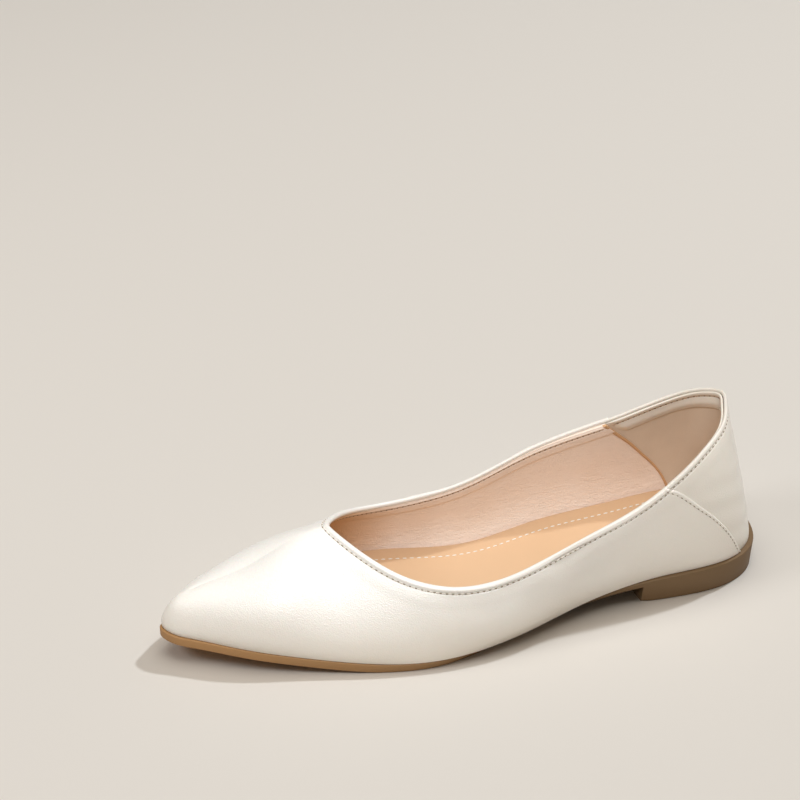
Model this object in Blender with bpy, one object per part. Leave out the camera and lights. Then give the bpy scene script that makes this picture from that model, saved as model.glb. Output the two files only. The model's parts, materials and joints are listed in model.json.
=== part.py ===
"""Pointed toe flat shoe, for the left foot, standing empty on its sole.

+X runs to the toe, +Y to the outer (lateral) side and +Z up. The origin is the middle of the heel's face
on the floor. The upper is worked out from ribs, which rise from the feather line, where the upper meets
the sole, to the crown of the last. The topline, the lap seam and every layer are drawn on that one form.
"""

import bmesh
import bpy
import numpy as np

# Driving sizes of the shoe, in metres.
LENGTH = 0.262  # feather line, from the back of the heel to the toe
BALL_PLACE = 0.60  # share of the length at which the ball lies
HEEL_WIDTH = 0.059  # feather line across the heel
BALL_WIDTH = 0.082  # feather line across the ball
BACK_HEIGHT = 0.0725  # floor to the top of the back
THROAT_HEIGHT = 0.0465  # floor to the throat, at the front of the opening
HEEL_HEIGHT = 0.0122  # floor to the feather line over the heel
HEEL_LENGTH = 0.0630  # back of the heel to its breast
HEEL_TAPER = 0.0006  # how much narrower each side of the heel is at the floor
BREAST_ROUND = 0.0010  # how far the corners of the breast are rounded in
BREAST_START = 0.93  # share of the heel's place at which that rounding starts
EDGE_BEVEL = 0.0005  # rounding of the outsole's edges
UNDERCUT = 0.0025  # how far the arch's edge slants in towards its underside
TOE_SPRING = 0.0090  # floor to the underside of the toe
SOLE_THICKNESS = 0.0040  # outsole under the forefoot
WAIST_THICKNESS = 0.0026  # outsole under the arch
TOE_LIP = 0.0011  # how far the outsole stands proud of the toe

# Layers of the upper, as depths below its outer face.
WALL = 0.0022  # leather and lining of the vamp and quarters
LAP_WALL = 0.0034  # the same wall where it holds the edge of the heel panel
LAP_FADE = 0.10  # share of the length over which the lap's extra thickness fades
LAP_STEP = 0.0008  # how far the quarter's edge stands proud of the heel panel
COUNTER_THICKNESS = 0.0009
HEEL_LINING = 0.0010
GAP = 0.0003  # clearance between pieces that touch
STEP_SLANT = 0.0001  # how far the step at the seam leans back towards the heel
INSOLE_THICKNESS = 0.0030
INSOLE_TAPER = 0.0008  # how much the insole narrows from its foot to its face
INSOLE_END = 0.985  # share of the length at which the insole's blunt tip lies
RIM_CROWN = 0.0006  # how far the rolled rim rises between its two faces

# One row for each rib, from the back of the heel to the toe. The widths and crowns are shares of a local
# width and a local height, which go from the heel's to the ball's as "fore" goes from 0 to 1.
RIB_COLUMNS = ("along", "fore", "lateral", "medial", "spine", "offset", "crown", "bulge_out", "bulge_in", "full")
RIBS = (
    (0.000, 0.00, 0.000, 0.000, 0.058, -0.113, 1.396, 0.014, 0.014, 1.06),
    (0.026, 0.00, 0.395, 0.347, 0.076, -0.116, 1.380, 0.014, 0.014, 1.20),
    (0.100, 0.00, 0.573, 0.449, 0.139, -0.077, 1.183, 0.026, 0.039, 2.15),
    (0.210, 0.00, 0.567, 0.438, 0.220, 0.001, 1.245, 0.036, 0.054, 2.54),
    (0.340, 0.30, 0.528, 0.427, 0.340, -0.002, 1.289, 0.041, 0.073, 2.64),
    (0.470, 0.65, 0.570, 0.369, 0.470, 0.000, 1.251, 0.054, 0.067, 2.15),
    (0.600, 1.00, 0.565, 0.438, 0.600, -0.002, 1.355, 0.012, 0.029, 1.54),
    (0.700, 1.00, 0.496, 0.451, 0.693, -0.019, 1.057, 0.019, 0.019, 1.50),
    (0.800, 1.00, 0.381, 0.391, 0.775, -0.022, 0.951, 0.017, 0.017, 1.58),
    (0.890, 1.00, 0.251, 0.276, 0.858, -0.021, 0.748, 0.014, 0.014, 2.15),
    (0.955, 1.00, 0.123, 0.174, 0.920, -0.025, 0.655, 0.012, 0.012, 2.01),
    (0.988, 1.00, 0.050, 0.076, 0.945, -0.027, 0.618, 0.010, 0.010, 1.89),
    (1.000, 1.00, -0.025, 0.025, 0.950, -0.027, 0.611, 0.008, 0.008, 1.82),
)
BULGE_SHARE = 0.30  # share of a rib's height over which the wall swells out from the feather line

# Height of the feather line along the shoe, as shares of three sizes that are added.
FEATHER_COLUMNS = ("along", "heel_height", "sole_thickness", "toe_spring")
FEATHER = (
    (0.00, 1.035, 0.000, 0.000),
    (0.21, 0.945, 0.000, 0.000),
    (0.34, 0.595, 0.150, 0.000),
    (0.46, 0.200, 0.520, 0.000),
    (0.60, 0.000, 0.957, 0.000),
    (0.70, 0.000, 0.990, 0.030),
    (0.82, 0.000, 1.000, 0.405),
    (1.00, 0.000, 1.030, 0.990),
)

# Side view of the topline, as shares of a height that goes from the back's to the throat's.
TOPLINE_COLUMNS = ("along", "fore", "lateral", "medial")
TOPLINE = (
    (0.035, 0.0, 1.000, 1.000),
    (0.140, 0.0, 0.890, 0.853),
    (0.250, 0.0, 0.667, 0.731),
    (0.400, 0.5, 0.641, 0.680),
    (0.550, 1.0, 0.681, 0.702),
    (0.650, 1.0, 0.767, 0.767),
    (0.710, 1.0, 0.929, 0.929),
    (0.741, 1.0, 1.029, 1.029),
    (0.800, 1.0, 1.167, 1.167),
)

# The lap seam, from the feather line to the topline, as the share along the feather line of the rib it is on.
SEAM_COLUMNS = ("up", "along")
SEAM = ((0.00, 0.055), (0.10, 0.068), (0.27, 0.100), (0.50, 0.143), (0.68, 0.167), (0.86, 0.188), (1.00, 0.206))

# Edge of the outsole beyond the feather line, as shares of the toe lip, and how far it slants in under itself
# at the arch, as shares of the undercut.
EDGE_COLUMNS = ("along", "lip", "undercut")
EDGE = (
    (0.00, 1.2, 0.00),
    (0.10, 1.4, 0.00),
    (0.22, 1.2, 0.00),
    (0.32, -0.9, 0.30),
    (0.42, -1.6, 1.00),
    (0.52, -1.3, 0.90),
    (0.62, -0.1, 0.25),
    (0.72, 0.3, 0.00),
    (0.90, 0.4, 0.00),
    (1.00, 1.0, 0.00),
)

# Mesh resolution.
ROWS = 12  # up a rib
COUNTER_COLUMNS = 8
QUARTER_COLUMNS = 9
WAIST_COLUMNS = 12
THROAT_COLUMNS = 5
VAMP_COLUMNS = 14
CLOSING_SHARE = 0.22  # share of the way from the quarter's end to the throat with finer columns
SOLE_STATIONS = 46
INSOLE_STATIONS = 40
SOLE_LANES = 6
WELD = 2e-6  # points closer than this become one
SMOOTH_ANGLE = 0.6
QUARTER_END = 0.38  # share along at which the columns have turned from the seam's slant to upright

MATERIALS = {
    "outsole": ((0.44, 0.27, 0.12), 0.55),
    "upper": ((0.84, 0.79, 0.70), 0.38),
    "counter": ((0.82, 0.77, 0.68), 0.38),
    "insole": ((0.72, 0.49, 0.29), 0.60),
}


def cubic(knots, values, at):
    """Natural cubic spline through values, a row for each knot, read at the given places."""
    knots = np.asarray(knots, float)
    values = np.asarray(values, float)
    step = np.diff(knots)
    slope = np.diff(values, axis=0) / (step[:, None] if values.ndim > 1 else step)
    count = len(knots)
    system = np.eye(count)
    for i in range(1, count - 1):
        system[i, i - 1 : i + 2] = step[i - 1], 2 * (step[i - 1] + step[i]), step[i]
    right = np.zeros_like(values)
    right[1:-1] = 6 * np.diff(slope, axis=0)
    bend = np.linalg.solve(system, right)
    at = np.asarray(at, float)
    i = np.clip(np.searchsorted(knots, at) - 1, 0, count - 2)
    h = step[i]
    left = (knots[i + 1] - at) / h
    near = (at - knots[i]) / h
    if values.ndim > 1:
        h, left, near = h[..., None], left[..., None], near[..., None]
    return (
        left * values[i]
        + near * values[i + 1]
        + ((left**3 - left) * bend[i] + (near**3 - near) * bend[i + 1]) * h**2 / 6
    )


def table(rows, columns):
    """A table of rows as one array for each named column."""
    return dict(zip(columns, np.array(rows, float).T, strict=True))


def fold(along):
    """Local width and height scales of the shoe: from the heel's to the ball's."""
    return HEEL_WIDTH * (1 - along) + BALL_WIDTH * along, BACK_HEIGHT * (1 - along) + THROAT_HEIGHT * along


def feather_height(x):
    rows = table(FEATHER, FEATHER_COLUMNS)
    height = (
        rows["heel_height"] * HEEL_HEIGHT
        + rows["sole_thickness"] * SOLE_THICKNESS
        + rows["toe_spring"] * TOE_SPRING
    )
    return cubic(rows["along"] * LENGTH, height, np.clip(x, -0.01 * LENGTH, 1.01 * LENGTH))


def rib_loop():
    """Knots and values of the ribs once round the shoe, from the toe's inner side past the heel to the toe."""
    rows = table(RIBS, RIB_COLUMNS)
    width, height = fold(rows["fore"])
    shared = [rows["spine"] * LENGTH, rows["offset"] * width, rows["crown"] * height, rows["full"]]
    outer = np.column_stack([rows["along"] * LENGTH, rows["lateral"] * width, *shared, rows["bulge_out"] * width])
    inner = np.column_stack([rows["along"] * LENGTH, -rows["medial"] * width, *shared, rows["bulge_in"] * width])
    middle = (outer[:, :2] - inner[:, :2] * (1, -1)) / 2 + inner[:, :2] * (1, -1)
    knots = np.concatenate([[0], np.cumsum(np.linalg.norm(np.diff(middle, axis=0), axis=1) ** 0.5)])
    loop = np.vstack([inner[:0:-1], outer[:-1]])
    places = np.concatenate([-knots[:0:-1], knots[:-1]])
    end = knots[-1]
    # The rows past each end are the same on both sides, so that the two sides' crowns are one line.
    wrap = 8
    loop = np.vstack([loop[-wrap:], loop, loop[: wrap + 1]])
    places = np.concatenate([places[-wrap:] - 2 * end, places, places[: wrap + 1] + 2 * end])
    return places, loop, end


PLACES, LOOP, TOE = rib_loop()
FLOOR_X = HEEL_LENGTH / 2
NORMAL_REACH = 0.004 * TOE  # step along the form over which a normal is read
NORMAL_BACK = 0.02 * TOE


def feather(t):
    """Points of the feather line at places t, and the outward direction there in plan."""
    t = np.asarray(t, float)
    reach = 1e-4
    row = cubic(PLACES, LOOP, t)
    ahead = cubic(PLACES, LOOP[:, :2], t + reach) - cubic(PLACES, LOOP[:, :2], t - reach)
    out = np.stack([-ahead[..., 1], ahead[..., 0]], -1)
    return row, out / np.linalg.norm(out, axis=-1, keepdims=True)


def place_of(along):
    """Place t on the outer side whose feather point lies at this share of the length."""
    t = np.linspace(0, TOE, 1500)
    return np.interp(np.asarray(along, float) * LENGTH, cubic(PLACES, LOOP[:, 0], t), t)


def form(t, theta):
    """Outer face of the upper: rib t, and theta from 0 at the feather line to a quarter turn at the crown."""
    row, out = feather(t)
    x, y, spine, offset, crown, full, bulge = np.moveaxis(row, -1, 0)
    base = feather_height(x)
    power = 2 / full
    side = np.clip(np.cos(theta), 0, 1) ** power
    rise = np.clip(np.sin(theta), 0, 1) ** power
    swell = bulge * (1 - np.clip(1 - rise / BULGE_SHARE, 0, 1) ** 3) * side
    return np.stack(
        [
            spine + (x - spine) * side + out[..., 0] * swell,
            offset + (y - offset) * side + out[..., 1] * swell,
            base + (crown - base) * rise,
        ],
        -1,
    )


def facing(t, theta):
    """Outward normal of the form."""
    reach = NORMAL_REACH
    along = form(t + reach, theta) - form(t - reach, theta)
    top, low = np.minimum(theta + reach, np.pi / 2), np.maximum(theta - reach, 0)
    normal = np.cross(along, form(t, top) - form(t, low))
    # On the inner side, place runs from the toe to the heel, so that the same product points outwards.
    return -normal / np.linalg.norm(normal, axis=-1, keepdims=True)


def cut_height(x, t):
    """Height of the side view's topline."""
    rows = table(TOPLINE, TOPLINE_COLUMNS)
    height = fold(rows["fore"])[1]
    low, high = TOPLINE[0][0] * LENGTH, TOPLINE[-1][0] * LENGTH
    x = np.clip(x, low, high)
    outer = cubic(rows["along"] * LENGTH, rows["lateral"] * height, x)
    inner = cubic(rows["along"] * LENGTH, rows["medial"] * height, x)
    return np.where(t > 0, outer, inner)


def topline(t):
    """Angle at which the topline crosses rib t, or a quarter turn in front of the throat."""
    t = np.asarray(t, float)
    low, high = np.full_like(t, 0.05), np.full_like(t, np.pi / 2)
    crown = form(t, high)
    open_rib = (np.abs(t) < THROAT) & (crown[..., 2] > cut_height(crown[..., 0], t))
    for _ in range(40):
        middle = (low + high) / 2
        point = form(t, middle)
        above = point[..., 2] > cut_height(point[..., 0], t)
        low, high = np.where(above, low, middle), np.where(above, middle, high)
    return np.where(open_rib, (low + high) / 2, np.pi / 2)


def throat_place():
    """Place of the rib whose crown lies on the topline."""
    low, high = place_of(BALL_PLACE), place_of(1)
    for _ in range(50):
        middle = (low + high) / 2
        crown = form(middle, np.pi / 2)
        low, high = (middle, high) if crown[2] > cut_height(crown[0], middle) else (low, middle)
    return low


THROAT = throat_place()


def seam_place(up):
    rows = table(SEAM, SEAM_COLUMNS)
    return place_of(cubic(rows["up"], rows["along"], up))


def seam_speed(up):
    """Metres along the form for a step of one in place, at the seam."""
    seam = seam_place(up)
    theta = up * topline(seam)
    reach = NORMAL_REACH
    return np.linalg.norm(form(seam + reach, theta) - form(seam - reach, theta), axis=-1) / (2 * reach)


def columns(up):
    """Places of every mesh column on the outer side for each share up a rib, behind and in front of the seam."""
    seam = seam_place(up)[:, None]
    end = place_of(QUARTER_END)
    behind = seam * np.linspace(0, 1, COUNTER_COLUMNS + 1)
    behind[:, -1] -= STEP_SLANT / seam_speed(up)
    quarter = seam + (end - seam) * np.linspace(0, 1, QUARTER_COLUMNS + 1)
    near = THROAT - (THROAT - end) * CLOSING_SHARE
    waist = np.linspace(end, near, WAIST_COLUMNS + 1)[1:]
    closing = THROAT - (THROAT - near) * np.linspace(1, 0, THROAT_COLUMNS + 1)[1:] ** 2
    vamp = THROAT + (TOE - THROAT) * np.sin(np.linspace(0, np.pi / 2, VAMP_COLUMNS + 1))[1:]
    front = np.concatenate([waist, closing, vamp])
    return behind, np.hstack([quarter, np.tile(front, (len(up), 1))])


def layer(t, up, depth):
    """Points at this depth below the outer face, on ribs t and shares up them."""
    theta = up[:, None] * topline(t)
    normal = facing(t, theta)
    # Both sides share the crown's points, so that its normal has no sideways part of one side alone. It is
    # read just behind the toe's own rib, where all crowns come together.
    crown = theta > np.pi / 2 - 1e-6
    near = np.clip(t, -TOE + NORMAL_BACK, TOE - NORMAL_BACK)
    normal = np.where(crown[..., None], facing(near, theta) + facing(-near, theta), normal)
    # Every layer's foot lies level with the feather line.
    normal[..., 2] *= (up > 0)[:, None]
    normal /= np.linalg.norm(normal, axis=-1, keepdims=True)
    return form(t, theta) - normal * np.asarray(depth)[..., None]


def inner_depth(t, seam):
    """Depth of the lining's face in front of the seam: the wall is thickest where it holds the heel panel."""
    past = np.clip((np.abs(t) - seam) / place_of(LAP_FADE), 0, 1)
    return WALL + (LAP_WALL - WALL) * (1 - past) ** 2 * (1 + 2 * past)


def rim(face, lining):
    """Row of points over the rolled rim, between the top rows of the wall's two faces."""
    rise = np.cross(np.gradient(face[-1], axis=0), face[-1] - lining[-1])
    rise *= np.sign((rise * (face[-1] - face[-2])).sum(-1, keepdims=True))
    rise /= np.linalg.norm(rise, axis=-1, keepdims=True)
    return (face[-1] + lining[-1]) / 2 + rise * RIM_CROWN


def wall(face, lining, top):
    """Grids of a wall that is open at both ends: its two faces, its foot and its rim."""
    return [face, lining, np.stack([face[0], lining[0]]), np.stack([face[-1], top, lining[-1]])]


def end_cap(face, lining, top, column):
    """Grid that closes a wall at one of its end columns."""
    return np.stack([np.vstack([face[:, column], top[column]]), np.vstack([lining[:, column], top[column]])])


def solid(name, patches):
    """One closed object from grids of points that share their edges."""
    body = bmesh.new()
    for patch in patches:
        points = [[body.verts.new(p - (FLOOR_X, 0, 0)) for p in line] for line in patch]
        for line, above in zip(points[:-1], points[1:], strict=True):
            # Every cell is split the same way, so that two layers a small gap apart stay apart.
            for a, b, c, d in zip(line[:-1], line[1:], above[1:], above[:-1], strict=True):
                body.faces.new((a, b, c))
                body.faces.new((a, c, d))
    bmesh.ops.remove_doubles(body, verts=body.verts[:], dist=WELD)
    bmesh.ops.dissolve_degenerate(body, edges=body.edges[:], dist=WELD)
    bmesh.ops.recalc_face_normals(body, faces=body.faces[:])
    mesh = bpy.data.meshes.new(name)
    body.to_mesh(mesh)
    body.free()
    mesh.shade_smooth()
    mesh.set_sharp_from_angle(angle=SMOOTH_ANGLE)
    made = bpy.data.objects.new(name, mesh)
    colour, roughness = MATERIALS[name]
    material = bpy.data.materials.new(name)
    material.use_nodes = True
    shader = material.node_tree.nodes["Principled BSDF"]
    shader.inputs["Base Color"].default_value = (*colour, 1)
    shader.inputs["Roughness"].default_value = roughness
    mesh.materials.append(material)
    return made


def shares_up():
    return np.linspace(0, 1, ROWS + 1)


def upper():
    """One hollow shell: the vamp and quarters in front of the seam, and the heel's lining behind it."""
    up = shares_up()
    behind, front = columns(up)
    seam = seam_place(up)[:, None]
    throat_column = QUARTER_COLUMNS + WAIST_COLUMNS + THROAT_COLUMNS
    open_part, closed_part = slice(0, throat_column + 1), slice(throat_column, None)
    heel_depth = LAP_STEP + COUNTER_THICKNESS + GAP
    halves = []
    vamp = []
    for side in (1, -1):
        heel_face = layer(side * behind, up, np.full(behind.shape, heel_depth))
        heel_lining = layer(side * behind, up, np.full(behind.shape, heel_depth + HEEL_LINING))
        face = layer(side * front, up, np.zeros(front.shape))
        lining = layer(side * front, up, inner_depth(front, seam))
        heel_top, top = rim(heel_face, heel_lining), rim(face[:, open_part], lining[:, open_part])
        halves.append(
            [
                np.concatenate([heel_face, face[:, open_part]], axis=1),
                np.concatenate([heel_lining, lining[:, open_part]], axis=1),
                np.concatenate([heel_top, top])[None],
            ]
        )
        foot = np.stack([face[0, closed_part], lining[0, closed_part]])
        vamp += [face[:, closed_part], lining[:, closed_part], foot]
    outer, inner = halves
    throat_rim = (outer[2][:, -1] + inner[2][:, -1]) / 2
    outer[2][:, -1] = throat_rim
    inner[2][:, -1] = throat_rim
    face, lining, top = (np.concatenate([b[:, :0:-1], a], axis=1) for a, b in zip(outer, inner, strict=True))
    return solid("upper", wall(face, lining, top[0]) + vamp)


def counter():
    """Leather panel round the heel, between the seams of the two sides."""
    up = shares_up()
    clearance = (STEP_SLANT + GAP) / seam_speed(up)
    places = seam_place(up)[:, None] * np.linspace(-1, 1, 2 * COUNTER_COLUMNS + 1)
    places[:, -1] -= clearance
    places[:, 0] += clearance
    face = layer(places, up, np.full(places.shape, LAP_STEP))
    lining = layer(places, up, np.full(places.shape, LAP_STEP + COUNTER_THICKNESS))
    top = rim(face, lining)
    ends = [end_cap(face, lining, top, column) for column in (0, -1)]
    return solid("counter", wall(face, lining, top) + ends)


def outline(t, offset):
    """Plan points at a distance outside the feather line."""
    row, out = feather(t)
    return row[..., :2] + out * np.asarray(offset)[..., None]


def across(t, offset, height, lanes):
    """A grid from the inner to the outer edge at each place, whose height is a function of x."""
    outer, inner = outline(t, offset), outline(-t, offset)
    share = np.linspace(0, 1, lanes + 1)[None, :, None]
    plan = inner[:, None] * (1 - share) + outer[:, None] * share
    return np.concatenate([plan, height(plan[..., 0])[..., None]], -1)


def edge_table(t, column):
    rows = table(EDGE, EDGE_COLUMNS)
    along = np.clip(feather(t)[0][..., 0] / LENGTH, 0, 1)
    return cubic(rows["along"], rows[column], along)


def sole_top(x):
    return feather_height(x) - GAP


def sole_thickness(x):
    """Thickness in front of the heel, from the arch's to the forefoot's."""
    share = np.clip((x - HEEL_LENGTH) / (BALL_PLACE * LENGTH - HEEL_LENGTH), 0, 1)
    return WAIST_THICKNESS + (SOLE_THICKNESS - WAIST_THICKNESS) * share**2 * (3 - 2 * share)


def sole_under(x):
    return np.maximum(sole_top(x) - sole_thickness(x), 0)


def sole_levels(t, heel):
    """Rings of the outsole's side, from its top edge to its underside, as grids across the sole."""
    edge = TOE_LIP * edge_table(t, "lip")
    under = np.zeros_like if heel else sole_under
    taper = UNDERCUT * np.clip(edge_table(t, "undercut"), 0, 1)
    if heel:
        breast = place_of(HEEL_LENGTH / LENGTH)
        corner = np.clip((t / breast - BREAST_START) / (1 - BREAST_START), 0, 1)
        taper = HEEL_TAPER + BREAST_ROUND * corner**2
    return [
        across(t, edge - EDGE_BEVEL, sole_top, SOLE_LANES),
        across(t, edge, lambda x: sole_top(x) - EDGE_BEVEL, SOLE_LANES),
        across(t, edge - taper, lambda x: under(x) + EDGE_BEVEL, SOLE_LANES),
        across(t, edge - taper - EDGE_BEVEL, under, SOLE_LANES),
    ]


def outsole():
    """The moulded sole in one piece: forefoot, arch and the low block of the heel."""
    breast = place_of(HEEL_LENGTH / LENGTH)
    heel_stations = breast * np.sin(np.linspace(0, np.pi / 2, SOLE_STATIONS // 3))
    fore_stations = breast + (TOE - breast) * np.sin(np.linspace(0, np.pi / 2, SOLE_STATIONS))
    patches = []
    ends = []
    for t, heel in ((heel_stations, True), (fore_stations, False)):
        levels = sole_levels(t, heel)
        patches += [levels[0], levels[-1]]
        for side in (0, -1):
            patches.append(np.stack([level[:, side] for level in levels]))
        ends.append([level[-1 if heel else 0] for level in levels])
    heel_end, fore_end = ends
    patches.append(np.stack([fore_end[3], heel_end[3]]))
    for lane in (0, -1):
        fore_corner = np.stack([level[lane] for level in fore_end[1:]])
        heel_corner = np.stack([level[lane] for level in heel_end[1:]])
        patches.append(np.stack([fore_corner, heel_corner]))
    return solid("outsole", patches)


def insole():
    """The sock and its board, which lie on the outsole inside the wall."""
    t = place_of(INSOLE_END) * (1 - np.cos(np.linspace(0, np.pi, INSOLE_STATIONS))) / 2
    inset = inner_depth(t, seam_place(np.zeros(1))[0]) + GAP
    foot = across(t, -inset, lambda x: sole_top(x) + GAP, SOLE_LANES)
    head = across(t, -inset - INSOLE_TAPER, lambda x: sole_top(x) + GAP + INSOLE_THICKNESS, SOLE_LANES)
    sides = [np.stack([foot[:, side], head[:, side]]) for side in (0, -1)]
    tip = np.stack([foot[-1], head[-1]])
    return solid("insole", [foot, head, *sides, tip])


def main():
    for thing in list(bpy.data.objects):
        bpy.data.objects.remove(thing)
    shoe = bpy.data.collections.new("pointed_toe_flat")
    bpy.context.scene.collection.children.link(shoe)
    for piece in (outsole(), insole(), upper(), counter()):
        shoe.objects.link(piece)


main()
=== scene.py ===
"""Scene for the pointed toe flat shoe: a left shoe, its materials, the floor, the light and the camera.

The shoe's form is worked out as in the model's source: ribs rise from the feather line, where the upper
meets the sole, to the crown of the last. Every piece here is drawn on that form, in metres.
"""

import json
import math

import bmesh
import bpy
import numpy as np
from mathutils import Matrix, Vector

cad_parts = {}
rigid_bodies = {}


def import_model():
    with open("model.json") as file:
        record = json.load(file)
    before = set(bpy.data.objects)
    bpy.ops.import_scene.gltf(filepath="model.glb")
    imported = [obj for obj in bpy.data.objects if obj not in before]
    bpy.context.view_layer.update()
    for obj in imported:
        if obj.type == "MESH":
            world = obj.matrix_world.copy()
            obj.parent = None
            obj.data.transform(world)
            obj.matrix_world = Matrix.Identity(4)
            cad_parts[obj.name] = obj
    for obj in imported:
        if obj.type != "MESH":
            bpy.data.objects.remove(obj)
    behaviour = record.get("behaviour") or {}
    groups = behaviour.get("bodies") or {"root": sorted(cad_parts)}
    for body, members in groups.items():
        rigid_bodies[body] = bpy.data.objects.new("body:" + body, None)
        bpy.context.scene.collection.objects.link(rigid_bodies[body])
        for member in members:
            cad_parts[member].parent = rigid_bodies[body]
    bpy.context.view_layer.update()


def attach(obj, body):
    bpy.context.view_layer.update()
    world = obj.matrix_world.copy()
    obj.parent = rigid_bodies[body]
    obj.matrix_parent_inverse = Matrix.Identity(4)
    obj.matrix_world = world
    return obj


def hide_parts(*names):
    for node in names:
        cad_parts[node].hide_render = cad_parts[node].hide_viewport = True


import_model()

# The named sizes of the model, in metres.
LENGTH = 0.262
HEEL_WIDTH = 0.059
BALL_WIDTH = 0.082
BACK_HEIGHT = 0.0725
THROAT_HEIGHT = 0.0465
HEEL_HEIGHT = 0.0122
HEEL_LENGTH = 0.0630
HEEL_TAPER = 0.0006
BREAST_ROUND = 0.0010
BREAST_START = 0.93
EDGE_BEVEL = 0.0005
UNDERCUT = 0.0025
TOE_SPRING = 0.0090
SOLE_THICKNESS = 0.0040
WAIST_THICKNESS = 0.0026
TOE_LIP = 0.0011
WALL = 0.0022
LAP_WALL = 0.0034
LAP_FADE = 0.10
LAP_STEP = 0.0008
GAP = 0.0003
INSOLE_THICKNESS = 0.0030
INSOLE_END = 0.985
BULGE_SHARE = 0.30
FLOOR_X = HEEL_LENGTH / 2

RIB_COLUMNS = (
    *("along", "fore", "lateral", "medial", "spine"),
    *("offset", "crown", "bulge_out", "bulge_in", "full"),
)
RIBS = (
    (0.000, 0.00, 0.000, 0.000, 0.058, -0.113, 1.396, 0.014, 0.014, 1.06),
    (0.026, 0.00, 0.395, 0.347, 0.076, -0.116, 1.380, 0.014, 0.014, 1.20),
    (0.100, 0.00, 0.573, 0.449, 0.139, -0.077, 1.183, 0.026, 0.039, 2.15),
    (0.210, 0.00, 0.567, 0.438, 0.220, 0.001, 1.245, 0.036, 0.054, 2.54),
    (0.340, 0.30, 0.528, 0.427, 0.340, -0.002, 1.289, 0.041, 0.073, 2.64),
    (0.470, 0.65, 0.570, 0.369, 0.470, 0.000, 1.251, 0.054, 0.067, 2.15),
    (0.600, 1.00, 0.565, 0.438, 0.600, -0.002, 1.355, 0.012, 0.029, 1.54),
    (0.700, 1.00, 0.496, 0.451, 0.693, -0.019, 1.057, 0.019, 0.019, 1.50),
    (0.800, 1.00, 0.381, 0.391, 0.775, -0.022, 0.951, 0.017, 0.017, 1.58),
    (0.890, 1.00, 0.251, 0.276, 0.858, -0.021, 0.748, 0.014, 0.014, 2.15),
    (0.955, 1.00, 0.123, 0.174, 0.920, -0.025, 0.655, 0.012, 0.012, 2.01),
    (0.988, 1.00, 0.050, 0.076, 0.945, -0.027, 0.618, 0.010, 0.010, 1.89),
    (1.000, 1.00, -0.025, 0.025, 0.950, -0.027, 0.611, 0.008, 0.008, 1.82),
)
FEATHER_COLUMNS = ("along", "heel_height", "sole_thickness", "toe_spring")
FEATHER = (
    (0.00, 1.035, 0.000, 0.000),
    (0.21, 0.945, 0.000, 0.000),
    (0.34, 0.595, 0.150, 0.000),
    (0.46, 0.200, 0.520, 0.000),
    (0.60, 0.000, 0.957, 0.000),
    (0.70, 0.000, 0.990, 0.030),
    (0.82, 0.000, 1.000, 0.405),
    (1.00, 0.000, 1.030, 0.990),
)
TOPLINE_COLUMNS = ("along", "fore", "lateral", "medial")
TOPLINE = (
    (0.035, 0.0, 1.000, 1.000),
    (0.140, 0.0, 0.890, 0.853),
    (0.250, 0.0, 0.667, 0.731),
    (0.400, 0.5, 0.641, 0.680),
    (0.550, 1.0, 0.681, 0.702),
    (0.650, 1.0, 0.767, 0.767),
    (0.710, 1.0, 0.929, 0.929),
    (0.741, 1.0, 1.029, 1.029),
    (0.800, 1.0, 1.167, 1.167),
)
SEAM_COLUMNS = ("up", "along")
SEAM = (
    (0.00, 0.055),
    (0.10, 0.068),
    (0.27, 0.100),
    (0.50, 0.143),
    (0.68, 0.167),
    (0.86, 0.188),
    (1.00, 0.206),
)
EDGE_COLUMNS = ("along", "lip", "undercut")
EDGE = (
    (0.00, 1.2, 0.00),
    (0.10, 1.4, 0.00),
    (0.22, 1.2, 0.00),
    (0.32, -0.9, 0.30),
    (0.42, -1.6, 1.00),
    (0.52, -1.3, 0.90),
    (0.62, -0.1, 0.25),
    (0.72, 0.3, 0.00),
    (0.90, 0.4, 0.00),
    (1.00, 1.0, 0.00),
)

# Where the front lining's cut edge lies inside, from the insole to the rim, as shares along the feather line.
LINING_COLUMNS = ("up", "along")
LINING = (
    (0.00, 0.083),
    (0.14, 0.097),
    (0.36, 0.134),
    (0.53, 0.158),
    (0.76, 0.188),
    (1.00, 0.214),
)

# Leather layers, in metres.
LEATHER = 0.0012
PANEL = 0.0010  # leather of the heel panel
LAYER_GAP = 0.0001  # between one layer and the next
FOLD = 0.0009  # how much thicker the vamp and quarters are at the folded rim
PANEL_FOLD = 0.0004  # and the heel panel
FOLD_NEAR = 0.002  # the fold is full this close to the rim
FOLD_FAR = 0.007  # and gone this far below it
HEEL_DEPTH = 0.0030  # outer face to the nap of the heel's lining
FACING_DEPTH = 0.0036  # outer face to the leather facing inside the collar
FACING_BAND = 0.0088  # width of that facing
FACING_BACK = 0.0007  # heel panel's back to the facing's back
LINING_PROUD = 0.0002  # front lining inside the wall's inner face
END_SUNK = 0.0004  # how far the heel's lining sinks where it runs under the front lining
FACING_END_SUNK = 0.0003  # and the facing
SOCK_SUNK = 0.0007  # insole's face under its full thickness, in its middle
SOCK_DISH = 0.0006  # how much higher its edges lie
SOCK_EDGE = ((0.0, 0.0016), (0.0001, 0.0008), (0.0004, 0.0002), (0.0010, 0.0))  # inset and drop

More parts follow.
